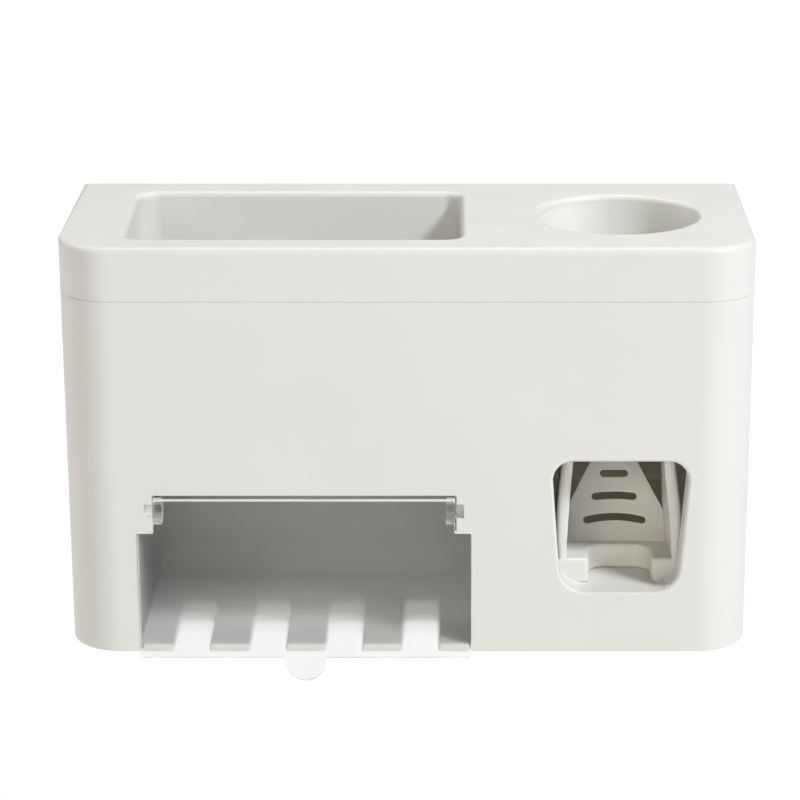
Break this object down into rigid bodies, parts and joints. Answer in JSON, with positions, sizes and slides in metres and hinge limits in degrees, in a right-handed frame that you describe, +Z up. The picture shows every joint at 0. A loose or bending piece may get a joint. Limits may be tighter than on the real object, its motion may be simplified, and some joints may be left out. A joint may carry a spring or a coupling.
{
  "type": "toothbrush holder",
  "caption": "Wall-mounted toothbrush holder with a push-in toothpaste dispenser, a frosted flip cover over hanging brush slots, an open storage compartment and a round tube well.",
  "frame": {"origin": "centre of the adhesive face that is stuck to the wall", "axes": "+X to the right along the wall as seen from the room, +Y into the wall, +Z up"},
  "size_m": [0.23, 0.098, 0.1504],
  "materials": {
    "shell_plastic": "satin moulded white plastic",
    "rear_plastic": "matt moulded white plastic",
    "chamber_plastic": "satin moulded white plastic",
    "pusher_plastic": "satin moulded warm white plastic",
    "frame_plastic": "matt moulded dark grey plastic",
    "pump_plastic": "moulded natural plastic",
    "clear_plastic": "lightly frosted clear plastic with polished edges",
    "silicone": "soft translucent silicone",
    "valve_silicone": "soft coloured silicone",
    "spring_steel": "drawn stainless wire",
    "pin_steel": "ground stainless steel",
    "screw_steel": "zinc-plated steel",
    "adhesive_foam": "thin pale adhesive foam"
  },
  "bodies": {
    "wall_plate": {"wall_bracket": "rear_plastic", "adhesive_pad": "adhesive_foam"},
    "unit": {"main_housing": "shell_plastic", "back_cover": "rear_plastic", "brush_chamber": "chamber_plastic", "dispenser_frame": "frame_plastic", "pivot_pins": "pin_steel", "return_spring": "spring_steel", "pump_body": "pump_plastic", "pump_bulb": "silicone", "bulb_clamp_ring": "frame_plastic", "inlet_valve": "valve_silicone", "outlet_valve": "valve_silicone", "nozzle_elbow": "pump_plastic", "tube_seal": "silicone", "seal_retainer": "pump_plastic", "pump_screws": "screw_steel", "frame_screws": "screw_steel", "chamber_screws": "screw_steel", "back_cover_screws": "screw_steel"},
    "tray": {"top_tray": "shell_plastic"},
    "cover": {"flip_cover": "clear_plastic"},
    "pusher_lever": {"pusher": "pusher_plastic"}
  },
  "joints": [
    {"name": "unit_lift", "type": "slide", "parent": "wall_plate", "child": "unit", "axis": [0, 0, 1], "range_m": [0, 0.0088]},
    {"name": "tray_lift", "type": "slide", "parent": "unit", "child": "tray", "axis": [0, 0, 1], "range_m": [0, 0.07]},
    {"name": "cover_hinge", "type": "hinge", "parent": "unit", "child": "cover", "pos_m": [-0.0344, -0.0951, -0.02485], "axis": [-1, 0, 0], "range_deg": [0, 110]},
    {"name": "pusher_pivot", "type": "hinge", "parent": "unit", "child": "pusher_lever", "pos_m": [0.071, -0.088, -0.001], "axis": [1, 0, 0], "range_deg": [0, 10], "stiffness_Nm_per_rad": 0.6, "springref_deg": -8.59, "deforming": ["return_spring", "pump_bulb"]}
  ]
}
